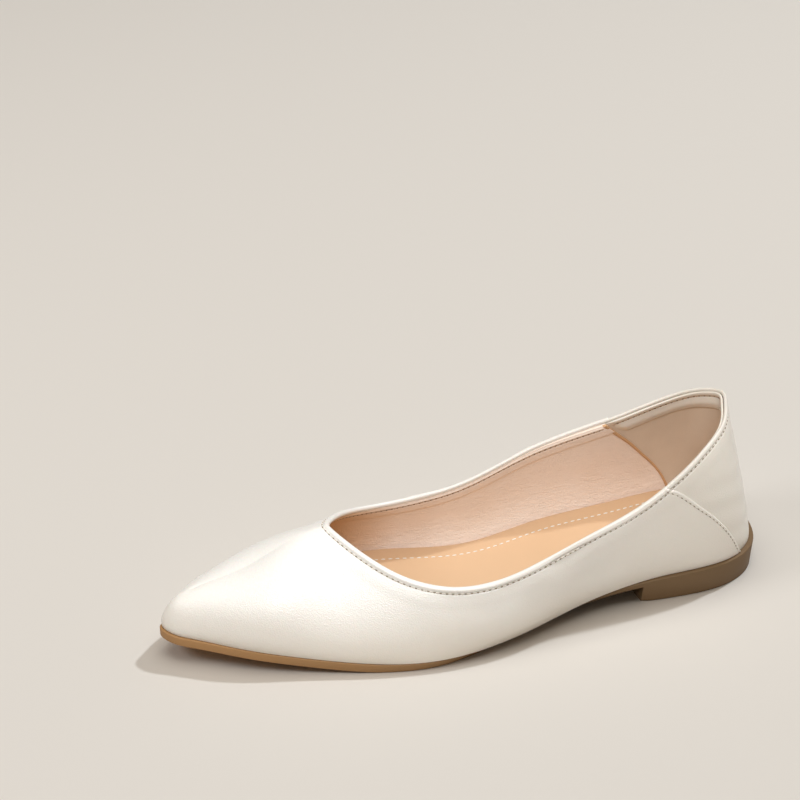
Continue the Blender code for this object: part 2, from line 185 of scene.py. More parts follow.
# Relief of the rims, seams and hems, in metres.
BEAD = 0.00030  # height of the rolled bead at the rim
BEAD_LINE = 0.0004  # rim to the bead's middle
BEAD_HALF = 0.0009
STITCH_LINE = 0.0018  # rim to the topline's stitches
STITCH_GROOVE = 0.00032
GROOVE_HALF = 0.0008  # half the width of every stitched groove
PILLOW = 0.00012  # soft swell below the topline's stitches
PILLOW_HALF = 0.0036
LAP_EDGE = 0.00045  # height of the lap's raised edge
LAP_EDGE_WIDTH = 0.0007
LAP_STITCH = 0.0017  # lap seam to its stitches
LAP_GROOVE = 0.00022
LINING_STITCH = 0.0021  # rim to the stitches on the inside
LINING_GROOVE = 0.00030
HEM = 0.0062  # depth of the turned-in hem, on the inside
HEM_STEP = 0.00045
HEM_ABOVE = 0.0007  # the step's start and end, above and below its line
HEM_BELOW = 0.0010
TUCK = 0.0007  # how far the lining turns outwards at the rim
TUCK_NEAR = 0.0005
TUCK_FAR = 0.0016
EDGE_BAND = 0.0013  # width of the lining's raw edge
EDGE_BACK = 0.0002  # how far it reaches behind the cut
EDGE_SUNK = 0.0009
EDGE_PROUD = 0.0004
EDGE_ROUND = 0.00022
PAD = 0.0006  # swell of the facing inside the collar
PAD_LINE = 0.0056
PAD_HALF = 0.0030
FACING_GROOVE = 0.00035
FACING_LOW = 0.0007  # how thin the facing's lower edge is skived
FACING_LOW_WIDTH = 0.0006
RIPPLE = 0.00012  # height of the heel panel's soft ripples
RIPPLE_UP = 520  # radians in a metre of height
RIPPLE_ROUND = 90  # and across
RIPPLE_NEAR = 0.006  # rim to where they start, and to where they are full
RIPPLE_FAR = 0.02

# How far layers run on under one another, in places along the feather line.
PANEL_UNDER = 0.02
HEEL_LINING_UNDER = 0.03
FACING_UNDER = 0.02

# Where the linings end, as shares up the ribs, and the slanted part of the front lining, along the shoe.
LINING_TOP = 0.985
HEEL_LINING_TOP = 0.955
LINING_SLANT_END = 0.34

# Stitches: pitch, length, radius and lift over the leather, in metres.
STITCH_PITCH = 0.0025
STITCH = (STITCH_PITCH, 0.0016, 0.00026, 0.0)
STITCH_HOLE = (STITCH_PITCH, 0.00105, 0.00024, 0.00003)
SOCK_STITCH = (0.0031, 0.0020, 0.00034, 0.0)
SOCK_STITCH_LINE = 0.0085  # lining to the insole's stitches
SOCK_STITCH_SUNK = 0.00045
SOCK_STITCH_REACH = 1.12  # how far they run, as a share of the throat's place
STITCH_SUNK = 0.00024  # the topline's stitches lie this deep in their groove
LAP_SUNK = 0.00018
FACING_SUNK = 0.0003
LINING_SUNK = 0.0004
SEAM_CLEAR = 0.003  # places from the seam to the first stitch, and to the first one of the lining
LINING_CLEAR = 0.02
THROAT_CLEAR = 0.002
LINE_POINTS = 500

# Fineness of the meshes.
LEATHER_SPACING = 0.00115
LINING_SPACING = 0.0018
WELD = 2e-6
DASH_WELD = 3e-6
RIM_POINTS = 900
BLOCK = 4000
RIM_STEPS = 7
SOLE_LANES = 8
INSOLE_LANES = 24


def cubic(knots, values, at):
    """Natural cubic spline through values, a row for each knot, read at the given places."""
    knots = np.asarray(knots, float)
    values = np.asarray(values, float)
    step = np.diff(knots)
    slope = np.diff(values, axis=0) / (step[:, None] if values.ndim > 1 else step)
    count = len(knots)
    system = np.eye(count)
    for i in range(1, count - 1):
        system[i, i - 1 : i + 2] = step[i - 1], 2 * (step[i - 1] + step[i]), step[i]
    right = np.zeros_like(values)
    right[1:-1] = 6 * np.diff(slope, axis=0)
    bend = np.linalg.solve(system, right)
    at = np.asarray(at, float)
    i = np.clip(np.searchsorted(knots, at) - 1, 0, count - 2)
    h = step[i]
    left = (knots[i + 1] - at) / h
    near = (at - knots[i]) / h
    if values.ndim > 1:
        h, left, near = h[..., None], left[..., None], near[..., None]
    return (
        left * values[i]
        + near * values[i + 1]
        + ((left**3 - left) * bend[i] + (near**3 - near) * bend[i + 1]) * h**2 / 6
    )


def table(rows, columns):
    """The columns of a table by name."""
    return dict(zip(columns, np.array(rows, float).T, strict=True))


def fold(along):
    """Width and height that a rib's shares refer to, from the heel's to the ball's and throat's."""
    return HEEL_WIDTH * (1 - along) + BALL_WIDTH * along, BACK_HEIGHT * (1 - along) + THROAT_HEIGHT * along


def feather_height(x):
    """Height of the feather line."""
    rows = table(FEATHER, FEATHER_COLUMNS)
    height = (
        rows["heel_height"] * HEEL_HEIGHT
        + rows["sole_thickness"] * SOLE_THICKNESS
        + rows["toe_spring"] * TOE_SPRING
    )
    return cubic(rows["along"] * LENGTH, height, np.clip(x, -0.01 * LENGTH, 1.01 * LENGTH))


def rib_loop():
    """Knots and values of the ribs once round, from the toe's inner side past the heel to the toe."""
    rows = table(RIBS, RIB_COLUMNS)
    width, height = fold(rows["fore"])
    along = rows["along"] * LENGTH
    shared = [rows["spine"] * LENGTH, rows["offset"] * width, rows["crown"] * height, rows["full"]]
    outer = np.column_stack([along, rows["lateral"] * width, *shared, rows["bulge_out"] * width])
    inner = np.column_stack([along, -rows["medial"] * width, *shared, rows["bulge_in"] * width])
    middle = (outer[:, :2] - inner[:, :2] * (1, -1)) / 2 + inner[:, :2] * (1, -1)
    knots = np.concatenate([[0], np.cumsum(np.linalg.norm(np.diff(middle, axis=0), axis=1) ** 0.5)])
    loop = np.vstack([inner[:0:-1], outer[:-1]])
    places = np.concatenate([-knots[:0:-1], knots[:-1]])
    end = knots[-1]
    # The rows past each end are the same on both sides, so that the two sides' crowns are one line.
    wrap = 8
    loop = np.vstack([loop[-wrap:], loop, loop[: wrap + 1]])
    places = np.concatenate([places[-wrap:] - 2 * end, places, places[: wrap + 1] + 2 * end])
    return places, loop, end


PLACES, LOOP, TOE = rib_loop()
NORMAL_REACH = 0.004 * TOE
NORMAL_BACK = 0.02 * TOE
FOOT_FADE = 0.02


def feather(t):
    """Points of the feather line at places t, and the outward direction there in plan."""
    t = np.asarray(t, float)
    reach = 1e-4
    row = cubic(PLACES, LOOP, t)
    ahead = cubic(PLACES, LOOP[:, :2], t + reach) - cubic(PLACES, LOOP[:, :2], t - reach)
    out = np.stack([-ahead[..., 1], ahead[..., 0]], -1)
    return row, out / np.linalg.norm(out, axis=-1, keepdims=True)


def place_of(along):
    """Place t on the outer side whose feather point lies at this share of the length."""
    t = np.linspace(0, TOE, 1500)
    return np.interp(np.asarray(along, float) * LENGTH, cubic(PLACES, LOOP[:, 0], t), t)


def form(t, theta):
    """Outer face of the upper: rib t, and theta from 0 at the feather line to a quarter turn at the crown."""
    row, out = feather(t)
    x, y, spine, offset, crown, full, bulge = np.moveaxis(row, -1, 0)
    base = feather_height(x)
    power = 2 / full
    side = np.clip(np.cos(theta), 0, 1) ** power
    rise = np.clip(np.sin(theta), 0, 1) ** power
    swell = bulge * (1 - np.clip(1 - rise / BULGE_SHARE, 0, 1) ** 3) * side
    return np.stack(
        [
            spine + (x - spine) * side + out[..., 0] * swell,
            offset + (y - offset) * side + out[..., 1] * swell,
            base + (crown - base) * rise,
        ],
        -1,
    )


def facing(t, theta):
    """Outward normal of the form."""
    reach = NORMAL_REACH
    along = form(t + reach, theta) - form(t - reach, theta)
    top, low = np.minimum(theta + reach, np.pi / 2), np.maximum(theta - reach, 0)
    normal = np.cross(along, form(t, top) - form(t, low))
    return -normal / np.linalg.norm(normal, axis=-1, keepdims=True)


def cut_height(x, t):
    """Height of the side view's topline."""
    rows = table(TOPLINE, TOPLINE_COLUMNS)
    height = fold(rows["fore"])[1]
    low, high = TOPLINE[0][0] * LENGTH, TOPLINE[-1][0] * LENGTH
    x = np.clip(x, low, high)
    outer = cubic(rows["along"] * LENGTH, rows["lateral"] * height, x)
    inner = cubic(rows["along"] * LENGTH, rows["medial"] * height, x)
    return np.where(t > 0, outer, inner)


def topline(t):
    """Angle at which the topline crosses rib t, or a quarter turn in front of the throat."""
    t = np.asarray(t, float)
    low, high = np.full_like(t, 0.05), np.full_like(t, np.pi / 2)
    crown = form(t, high)
    open_rib = (np.abs(t) < THROAT) & (crown[..., 2] > cut_height(crown[..., 0], t))
    for _ in range(40):
        middle = (low + high) / 2
        point = form(t, middle)
        above = point[..., 2] > cut_height(point[..., 0], t)
        low, high = np.where(above, low, middle), np.where(above, middle, high)
    return np.where(open_rib, (low + high) / 2, np.pi / 2)


def throat_place():
    """Place of the throat, where the topline meets the crown."""
    low, high = place_of(0.6), place_of(0.85)
    for _ in range(50):
        middle = (low + high) / 2
        crown = form(middle, np.pi / 2)
        low, high = (middle, high) if crown[2] > cut_height(crown[0], middle) else (low, middle)
    return low


THROAT = throat_place()


def seam_place(up):
    """Place of the lap seam at a share up the ribs."""
    rows = table(SEAM, SEAM_COLUMNS)
    return place_of(cubic(rows["up"], rows["along"], up))


def lining_place(up):
    """Place of the front lining's cut edge at a share up the ribs."""
    rows = table(LINING, LINING_COLUMNS)
    return place_of(cubic(rows["up"], rows["along"], up))


def inner_depth(t, up=0.0):
    """Depth of the lining's face: the wall is thickest where it holds the heel panel."""
    past = np.clip((np.abs(t) - seam_place(up)) / place_of(LAP_FADE), 0, 1)
    return WALL + (LAP_WALL - WALL) * (1 - past) ** 2 * (1 + 2 * past)


def metres_per_place(t, theta):
    """Metres along the form for a step of one in place."""
    reach = NORMAL_REACH
    return np.linalg.norm(form(t + reach, theta) - form(t - reach, theta), axis=-1) / (2 * reach)


class Skin:
    """A patch of the form: a grid of places t and shares up the ribs, with its points and normals."""

    def __init__(self, t, up):
        t = np.asarray(t, float)
        up = np.asarray(up, float)
        self.up = np.broadcast_to(up[:, None], t.shape) if up.ndim == 1 else up
        theta = self.up * topline(t)
        self.points = form(t, theta)
        normal = facing(t, theta)
        # Both sides share the crown's points. Its normal is read just behind the toe's own rib.
        crown = theta > np.pi / 2 - 1e-6
        near = np.clip(t, -TOE + NORMAL_BACK, TOE - NORMAL_BACK)
        normal = np.where(crown[..., None], facing(near, theta) + facing(-near, theta), normal)
        # Every layer's foot lies level with the feather line.
        normal[..., 2] *= smooth(self.up, 0, FOOT_FADE)
        self.normals = normal / np.linalg.norm(normal, axis=-1, keepdims=True)

    def at(self, depth):
        """Points this deep under the outer face."""
        return self.points - self.normals * np.asarray(depth)[..., None]


def rim_curve():
    """Points of the outer face's top edge round the opening."""
    t = np.linspace(-THROAT, THROAT, RIM_POINTS)
    return form(t, topline(t))


RIM = rim_curve()


def rim_distance(points):
    """Distance from points to the top edge."""
    flat = points.reshape(-1, 3)
    distance = np.empty(len(flat))
    for start in range(0, len(flat), BLOCK):
        part = flat[start : start + BLOCK]
        gaps = ((part[:, None] - RIM[None]) ** 2).sum(-1)
        nearest = gaps.argmin(1)
        ahead = np.clip(nearest + 1, 1, len(RIM) - 1)
        behind = np.clip(nearest - 1, 0, len(RIM) - 2)
        line = RIM[ahead] - RIM[behind]
        share = ((part - RIM[behind]) * line).sum(-1) / (line**2).sum(-1)
        foot = RIM[behind] + line * np.clip(share, 0, 1)[:, None]
        distance[start : start + BLOCK] = np.linalg.norm(part - foot, axis=1)
    return distance.reshape(points.shape[:-1])


def smooth(x, low, high):
    """Smooth step from 0 at low to 1 at high."""
    share = np.clip((x - low) / (high - low), 0, 1)
    return share * share * (3 - 2 * share)


def hump(x, centre, half):
    """Smooth bump of height 1 at centre, down to 0 at half its width away."""
    share = np.clip(np.abs(x - centre) / half, 0, 1)
    return (1 - share * share) ** 2


def place_grid(start, end, spacing, fine):
    """Places from start to end a set distance apart along the feather line, closer near the throat."""
    t = np.linspace(start, end, 2000)
    foot = cubic(PLACES, LOOP[:, :2], t)
    step = np.linalg.norm(np.diff(foot, axis=0), axis=1)
    middle = (t[1:] + t[:-1]) / 2
    weight = 1 + fine * np.exp(-(((np.abs(middle) - THROAT) / (0.03 * TOE)) ** 2))
    run = np.concatenate([[0], np.cumsum(step * weight)])
    count = max(2, int(round(run[-1] / spacing)))
    return np.interp(np.linspace(0, run[-1], count + 1), run, t)


def add_piece(name, body, material, node=None, sharp=None):
    """One smooth object from a built body, which rides with the shoe."""
    bmesh.ops.recalc_face_normals(body, faces=body.faces[:])
    mesh = bpy.data.meshes.new(name)
    body.to_mesh(mesh)
    body.free()
    mesh.shade_smooth()
    if sharp:
        mesh.set_sharp_from_angle(angle=sharp)
    made = bpy.data.objects.new(name, mesh)
    bpy.context.scene.collection.objects.link(made)
    mesh.materials.append(material)
    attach(made, "root")
    if node:
        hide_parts(node)


def build(name, patches, material, node=None, sharp=0.9):
    """One object from grids of points that share their edges, welded and shaded smooth."""
    body = bmesh.new()
    for patch in patches:
        rows = [[body.verts.new((p[0] - FLOOR_X, p[1], p[2])) for p in line] for line in patch]
        for line, above in zip(rows[:-1], rows[1:], strict=True):
            for a, b, c, d in zip(line[:-1], line[1:], above[1:], above[:-1], strict=True):
                body.faces.new((a, b, c, d))
    bmesh.ops.remove_doubles(body, verts=body.verts[:], dist=WELD)
    bmesh.ops.dissolve_degenerate(body, edges=body.edges[:], dist=WELD)
    add_piece(name, body, material, node, sharp)


class Nodes:
    """A short way to write a material's node tree."""

    def __init__(self, name):
        self.material = bpy.data.materials.new(name)
        self.material.use_nodes = True
        self.tree = self.material.node_tree
        self.shader = self.tree.nodes["Principled BSDF"]

    def add(self, kind, inputs=None, **settings):
        """A node with its settings, and values or links for its inputs."""
        node = self.tree.nodes.new(kind)
        for key, value in settings.items():
            setattr(node, key, value)
        for key, value in (inputs or {}).items():
            self.plug(node.inputs[key], value)
        return node

    def plug(self, socket, value):
        """Link another node's output to a socket, or set the socket's value."""
        if isinstance(value, bpy.types.NodeSocket):
            self.tree.links.new(value, socket)
        elif isinstance(value, tuple) and len(value) == 3 and socket.type == "RGBA":
            socket.default_value = (*value, 1)
        else:
            socket.default_value = value

    def set(self, **inputs):
        """Inputs of the main shader, with underscores for the spaces in their names."""
        for key, value in inputs.items():
            self.plug(self.shader.inputs[key.replace("_", " ")], value)

    def place(self):
        """The point's place on the object, in metres."""
        return self.add("ShaderNodeTexCoord").outputs["Object"]

    def noise(self, scale, detail, roughness=0.5, vector=None, distortion=0.0):
        inputs = {"Scale": scale, "Detail": detail, "Roughness": roughness, "Distortion": distortion}
        inputs["Vector"] = vector or self.place()
        return self.add("ShaderNodeTexNoise", inputs).outputs["Fac"]

    def cells(self, scale, feature="F1"):
        inputs = {"Vector": self.place(), "Scale": scale}
        return self.add("ShaderNodeTexVoronoi", inputs, feature=feature).outputs["Distance"]

    def math(self, operation, a, b=0.0, clamp=False):
        node = self.add("ShaderNodeMath", operation=operation, use_clamp=clamp)
        self.plug(node.inputs[0], a)
        self.plug(node.inputs[1], b)
        return node.outputs[0]

    def mix(self, factor, a, b):
        node = self.add("ShaderNodeMix", data_type="RGBA")
        self.plug(node.inputs["Factor"], factor)
        self.plug(node.inputs["A"], a)
        self.plug(node.inputs["B"], b)
        return node.outputs["Result"]

    def range(self, value, low, high, to_low=0.0, to_high=1.0):
        """A value mapped from one range to another, and held at its ends."""
        node = self.add(
            "ShaderNodeMapRange",
            {"Value": value, "From Min": low, "From Max": high, "To Min": to_low, "To Max": to_high},
        )
        return node.outputs["Result"]

    def bump(self, height, strength, distance, normal=None):
        inputs = {"Height": height, "Strength": strength, "Distance": distance}
        if normal is not None:
            inputs["Normal"] = normal
        return self.add("ShaderNodeBump", inputs).outputs["Normal"]

    def axis(self, letter, vector=None):
        return self.add("ShaderNodeSeparateXYZ", {"Vector": vector or self.place()}).outputs[letter]

    def stretch(self, scale):
        return self.add("ShaderNodeMapping", {"Vector": self.place(), "Scale": scale}).outputs["Vector"]


def leather(name, light, deep, shine):
    """Off-white coated leather: a fine pebble, a soft pearly coat, and painted shade: warmer and darker low
    on the shoe and at the heel.
    """
    n = Nodes(name)
    # Painted shade and bounce light: darker and warmer low on the shoe, where warm light bounces up from the
    # sole, and towards the heel, where less light falls.
    low = n.range(n.axis("Z"), 0.002, 0.034, 1.0, 0.0)
    back = n.range(n.axis("X"), 0.02, 0.17, 0.55, 0.0)
    mottle = n.math("MULTIPLY", n.math("SUBTRACT", n.noise(28.0, 3.0), 0.5), 0.35)
    tone = n.math("ADD", n.math("MAXIMUM", low, back), mottle, clamp=True)
    pebble = n.cells(2300.0, feature="SMOOTH_F1")
    fine = n.noise(3600.0, 3.0)
    grain = n.math("ADD", pebble, n.math("MULTIPLY", fine, 0.5))
    first = n.bump(grain, 0.60, 0.00016)
    normal = n.bump(n.noise(90.0, 3.0), 0.10, 0.0008, first)
    rough = n.range(n.noise(700.0, 3.0), 0.3, 0.7, shine - 0.05, shine + 0.07)
    n.set(Base_Color=n.mix(tone, light, deep), Roughness=rough, Normal=normal)
    n.set(Specular_IOR_Level=0.5, Coat_Weight=0.45, Coat_Roughness=0.24, Coat_Normal=normal)
    n.set(Sheen_Weight=0.10, Sheen_Roughness=0.4, Subsurface_Weight=0.04, Subsurface_Scale=0.0015)
    return n.material


def pigskin():
    """Pinkish tan front lining, with fine wrinkles along the shoe."""
    n = Nodes("front_lining")
    wrinkle = n.noise(1.0, 4.0, 0.62, n.stretch((190.0, 190.0, 620.0)), 1.2)
    pores = n.cells(1500.0)
    open_tone = n.mix(n.noise(60.0, 4.0), (0.95, 0.80, 0.69), (0.90, 0.72, 0.585))
    # Painted shade under the vamp: the lining is painted darker and deep orange there, for the throat's shade
    # and the light that reaches it only after bouncing off its own orange walls.
    colour = n.mix(n.range(n.axis("X"), 0.118, 0.160), open_tone, (0.66, 0.36, 0.13))
    # The wrinkles are deeper low down, where the wall bends over the insole.
    depth = n.range(n.axis("Z"), 0.012, 0.040, 1.0, 0.35)
    height = n.math("ADD", n.math("MULTIPLY", wrinkle, depth), n.math("MULTIPLY", pores, -0.25))
    n.set(Base_Color=colour, Roughness=0.6, Normal=n.bump(height, 0.75, 0.0007), Specular_IOR_Level=0.35)
    return n.material


def suede():
    """Greige brown napped lining of the heel."""
    n = Nodes("heel_lining")
    nap = n.noise(2600.0, 4.0, 0.7)
    patches = n.math("ADD", n.math("MULTIPLY", nap, 0.5), n.math("MULTIPLY", n.noise(120.0, 4.0), 0.5))
    n.set(Base_Color=n.mix(patches, (0.64, 0.49, 0.355), (0.80, 0.655, 0.505)), Roughness=0.9)
    n.set(Normal=n.bump(nap, 0.5, 0.0003), Sheen_Weight=0.4, Sheen_Roughness=0.5, Specular_IOR_Level=0.15)
    return n.material


def sock():
    """Smooth tan insole."""
    n = Nodes("insole_sock")
    colour = n.mix(n.noise(26.0, 4.0), (0.66, 0.435, 0.26), (0.625, 0.405, 0.235))
    grain = n.cells(1900.0, feature="SMOOTH_F1")
    n.set(Base_Color=colour, Roughness=0.5, Normal=n.bump(grain, 0.25, 0.0001), Specular_IOR_Level=0.4)
    n.set(Sheen_Weight=0.08)
    return n.material


def rubber():
    """Matte tan brown moulded rubber, darker towards the heel, with fine ribs across its underside."""
    n = Nodes("outsole_rubber")
    back = n.range(n.axis("X"), 0.06, 0.21, 1.0, 0.0)
    mottle = n.math("MULTIPLY", n.math("SUBTRACT", n.noise(45.0, 4.0), 0.5), 0.3)
    tone = n.math("ADD", back, mottle, clamp=True)
    grain = n.noise(1800.0, 4.0, 0.6)
    ribs = n.add("ShaderNodeTexWave", {"Vector": n.place(), "Scale": 60.0}, bands_direction="X")
    facing_down = n.range(n.axis("Z", n.add("ShaderNodeNewGeometry").outputs["Normal"]), -0.8, -0.95)
    first = n.bump(n.math("MULTIPLY", ribs.outputs["Fac"], facing_down), 0.8, 0.0006)
    n.set(Base_Color=n.mix(tone, (0.41, 0.218, 0.086), (0.158, 0.092, 0.040)), Roughness=0.6)
    n.set(Normal=n.bump(grain, 0.25, 0.00015, first), Specular_IOR_Level=0.4)
    return n.material


def plain(name, colour, roughness):
    """A thread or an edge: one tone with a fine twist in it."""
    n = Nodes(name)
    fibre = n.noise(2500.0, 3.0)
    n.set(Base_Color=n.mix(fibre, tuple(0.85 * c for c in colour), colour), Roughness=roughness)
    n.set(Normal=n.bump(fibre, 0.3, 0.0001))
    return n.material


# Each leather's second colour is painted shade, used low on the shoe and towards the heel.
upper_leather = leather("upper_leather", (0.88, 0.835, 0.775), (0.74, 0.66, 0.555), 0.36)
# The heel panel has the upper's leather, painted a little darker as shade at the heel.
counter_leather = leather("counter_leather", (0.85, 0.80, 0.73), (0.71, 0.63, 0.525), 0.40)
facing_leather = leather("facing_leather", (0.80, 0.725, 0.63), (0.76, 0.67, 0.56), 0.50)
lining_front = pigskin()
lining_heel = suede()
insole_skin = sock()
sole_rubber = rubber()
white_thread = plain("white_thread", (0.86, 0.82, 0.74), 0.6)
cream_thread = plain("cream_thread", (0.78, 0.71, 0.62), 0.6)
brown_thread = plain("brown_thread", (0.30, 0.16, 0.08), 0.7)
tan_thread = plain("tan_thread", (0.60, 0.42, 0.28), 0.7)
# Dark slots painted for the shade inside the stitch holes.
hole_shade = plain("stitch_hole_shade", (0.33, 0.26, 0.185), 0.9)
raw_edge = plain("raw_edge", (0.66, 0.38, 0.19), 0.8)


def edge_relief(distance):
    """How far the leather's face stands proud near the rim: the rolled bead and the stitches' groove."""
    bead = BEAD * hump(distance, BEAD_LINE, BEAD_HALF)
    groove = STITCH_GROOVE * hump(distance, STITCH_LINE, GROOVE_HALF)
    pillow = PILLOW * hump(distance, STITCH_LINE + PILLOW_HALF, PILLOW_HALF)
    return bead - groove + pillow


def folded(distance, extra):
    """Extra thickness of the leather where it is folded at the rim."""
    return extra * (1 - smooth(distance, FOLD_NEAR, FOLD_FAR))


def rim_rows(face, back):
    """Rows of points over the rolled rim, from the outer face's top row to the inner face's."""
    middle = (face[-1] + back[-1]) / 2
    out = face[-1] - back[-1]
    half = np.linalg.norm(out, axis=-1, keepdims=True) / 2
    rise = np.cross(np.gradient(face[-1], axis=0), out)
    rise *= np.sign((rise * (face[-1] - face[-2])).sum(-1, keepdims=True))
    rise /= np.linalg.norm(rise, axis=-1, keepdims=True)
    out = out / (2 * half)
    turns = np.linspace(0, np.pi, RIM_STEPS + 2)
    return np.stack([middle + half * (out * math.cos(a) + rise * math.sin(a)) for a in turns])


# Rows up the ribs, closer near the rim, and columns of the part that slants like the seam.
ROWS_LOW = 44
ROWS_HIGH = 46
CLOSER = 0.76
UPS = np.concatenate([np.linspace(0, CLOSER, ROWS_LOW + 1)[:-1], np.linspace(CLOSER, 1, ROWS_HIGH + 1)])
BACK_UPS = np.linspace(0, 1, 9)
QUARTER_END = 0.38
QUARTER_SPLITS = 96


def side_places(ups, front):
    """Places of the panel's columns on the outer side: slanted like the seam at first, then upright."""
    seam = seam_place(ups)[:, None]
    end = place_of(QUARTER_END)
    return np.hstack([seam + (end - seam) * np.linspace(0, 1, QUARTER_SPLITS), np.tile(front, (len(ups), 1))])


# Soft troughs that use has pressed into the leather: ends along the shoe and up, side, half width and depth.
CREASES = (
    ((0.083, 0.047), (0.104, 0.036), 1, 0.0055, 0.00045),
    ((0.098, 0.041), (0.128, 0.031), 1, 0.0045, 0.00030),
    ((0.120, 0.022), (0.152, 0.027), 1, 0.0060, 0.00035),
    ((0.080, 0.024), (0.112, 0.019), 1, 0.0070, 0.00040),
    ((0.100, 0.040), (0.130, 0.030), -1, 0.0055, 0.00040),
    ((0.150, 0.026), (0.178, 0.031), -1, 0.0055, 0.00030),
)
CREASE_LIP = 0.35  # height of the soft lip beside a trough, as a share of its depth


def creases(points, side):
    """Depth of the troughs at points on one side of the shoe."""
    depth = np.zeros(points.shape[:-1])
    flat = points[..., [0, 2]]
    for start, end, where, half, deep in CREASES:
        if where != side:
            continue
        start, end = np.array(start), np.array(end)
        run = end - start
        share = np.clip(((flat - start) @ run) / (run @ run), 0, 1)
        gap = np.linalg.norm(flat - start - share[..., None] * run, axis=-1)
        depth += deep * np.exp(-((gap / half) ** 2))
        depth -= CREASE_LIP * deep * np.exp(-(((gap - 2 * half) / half) ** 2))
    return depth


def front_leather():
    """Vamp and quarters in one panel, from one lap seam round the toe to the other."""
    front = place_grid(place_of(QUARTER_END), TOE, LEATHER_SPACING, fine=1.2)[1:]
    nearest = np.abs(front - THROAT).argmin()
    front[nearest] = THROAT
    stop = QUARTER_SPLITS + nearest + 1
    patches = []
    for side in (1, -1):
        skin = Skin(side * side_places(UPS, front), UPS)
        distance = rim_distance(skin.points)
        seam_gap = np.linalg.norm(skin.points - skin.points[:, :1], axis=-1)
        edge = LAP_EDGE * (1 - smooth(seam_gap, 0.0, LAP_EDGE_WIDTH))
        groove = LAP_GROOVE * hump(seam_gap, LAP_STITCH, GROOVE_HALF)
        face = skin.at(creases(skin.points, side) - edge_relief(distance) + edge + groove)
        back_skin = Skin(side * side_places(BACK_UPS, front), BACK_UPS)
        back_distance = rim_distance(back_skin.points)
        back = back_skin.at(LEATHER + folded(back_distance, FOLD))
        patches.append((face, back, rim_rows(face[:, :stop], back[:, :stop])))
    # Both halves share the rim's rows at the throat.
    outer, inner = patches[0][2], patches[1][2]
    meet = (outer[:, -1] + inner[:, -1]) / 2
    outer[:, -1] = meet
    inner[:, -1] = meet
    grids = []
    for face, back, rim in patches:
        spread = np.stack([np.interp(UPS, BACK_UPS, back[:, 0, k]) for k in range(3)], -1)
        grids += [face, back, rim, np.stack([face[0], back[0]]), np.stack([face[:, 0], spread])]
    build("vamp_and_quarters", grids, upper_leather, "upper")


def closed_sheet(face, back, rim=None):
    """Grids of a sheet between two faces, closed round its edges or rolled over at the top."""
    top = np.stack([face[-1], back[-1]]) if rim is None else rim
    ends = [np.stack([face[:, column], back[:, column]]) for column in (0, -1)]
    return [face, back, top, np.stack([face[0], back[0]]), *ends]


def heel_panel():
    """Outer leather of the heel, behind the lap seam, with its own rolled rim."""
    share = np.linspace(-1, 1, 181)
    skin = Skin((seam_place(UPS) + PANEL_UNDER)[:, None] * share, UPS)
    distance = rim_distance(skin.points)
    y, z = skin.points[..., 1], skin.points[..., 2]
    ripples = RIPPLE * np.sin(z * RIPPLE_UP + 3 * np.sin(y * RIPPLE_ROUND))
    ripples *= smooth(distance, RIPPLE_NEAR, RIPPLE_FAR)
    face = skin.at(LAP_STEP - edge_relief(distance) + ripples)
    back = skin.at(LAP_STEP + PANEL + folded(distance, PANEL_FOLD))
    grids = closed_sheet(face, back, rim_rows(face, back))
    build("heel_panel", grids, counter_leather, "counter")


def shares_below_rim(t, distances):
    """Shares up the ribs at places t, a row for each distance below the rim."""
    ups = np.linspace(0.35, 1, 66)
    gap = rim_distance(Skin(np.tile(t, (len(ups), 1)), ups).points)
    return np.array([[np.interp(d, gap[::-1, k], ups[::-1]) for k in range(len(t))] for d in distances])


def inner_front():
    """Front lining, inside the vamp and quarters, whose cut edge lies over the heel's lining."""
    ups = np.concatenate([np.linspace(0, 0.72, 30)[:-1], np.linspace(0.72, 1, 40)])
    end = place_of(LINING_SLANT_END)
    front = place_grid(end, TOE, LINING_SPACING, fine=0.5)[1:]
    start = lining_place(ups)[:, None]
    grids = []
    for side in (1, -1):
        t = side * np.hstack([start + (end - start) * np.linspace(0, 1, 40), np.tile(front, (len(ups), 1))])
        open_part = np.abs(t) < THROAT
        skin = Skin(t, ups[:, None] * np.where(open_part, LINING_TOP, 1.0))
        distance = rim_distance(skin.points)
        hem = HEM_STEP * (1 - smooth(distance, HEM - HEM_ABOVE, HEM + HEM_BELOW))
        groove = LINING_GROOVE * hump(distance, LINING_STITCH, GROOVE_HALF)
        tuck = TUCK * (1 - smooth(distance, TUCK_NEAR, TUCK_FAR)) * open_part
        face = skin.at(inner_depth(t, skin.up) + LINING_PROUD + hem - groove - tuck)
        back = skin.at(np.full(t.shape, LEATHER + LAYER_GAP))
        grids += closed_sheet(face, back)
        edge_t = start[:, 0] * side
        speed = metres_per_place(edge_t, ups * topline(edge_t))
        behind = edge_t - side * EDGE_BACK / speed
        before = edge_t + side * EDGE_BAND / speed
        edge = Skin(np.stack([behind, before], 1), ups * LINING_TOP)
        depth = inner_depth(edge_t, ups)[:, None]
        strip(f"lining_edge_{'outer' if side > 0 else 'inner'}", edge, depth)
    build("front_lining", grids, lining_front, "upper")


def strip(name, skin, depth):
    """The lining's cut edge, a narrow raw band that stands proud of both linings."""
    low, high = skin.at(depth - EDGE_SUNK), skin.at(depth + EDGE_PROUD)
    back, front = (low[:, 0], high[:, 0]), (low[:, 1], high[:, 1])
    turns = np.linspace(0, np.pi, 7)
    rows = [back[0]]
    for a in turns:
        along = (1 - math.cos(a)) / 2
        lift = EDGE_ROUND * math.sin(a)
        rows.append(back[1] * (1 - along) + front[1] * along - skin.normals[:, 0] * lift)
    rows.append(front[0])
    grid = np.stack(rows)
    foot = np.stack([front[0], back[0]])
    ends = [np.stack([grid[:, column], grid[::-1, column]]) for column in (0, -1)]
    build(name, [grid, foot, ends[0][:, :5], ends[1][:, :5]], raw_edge)


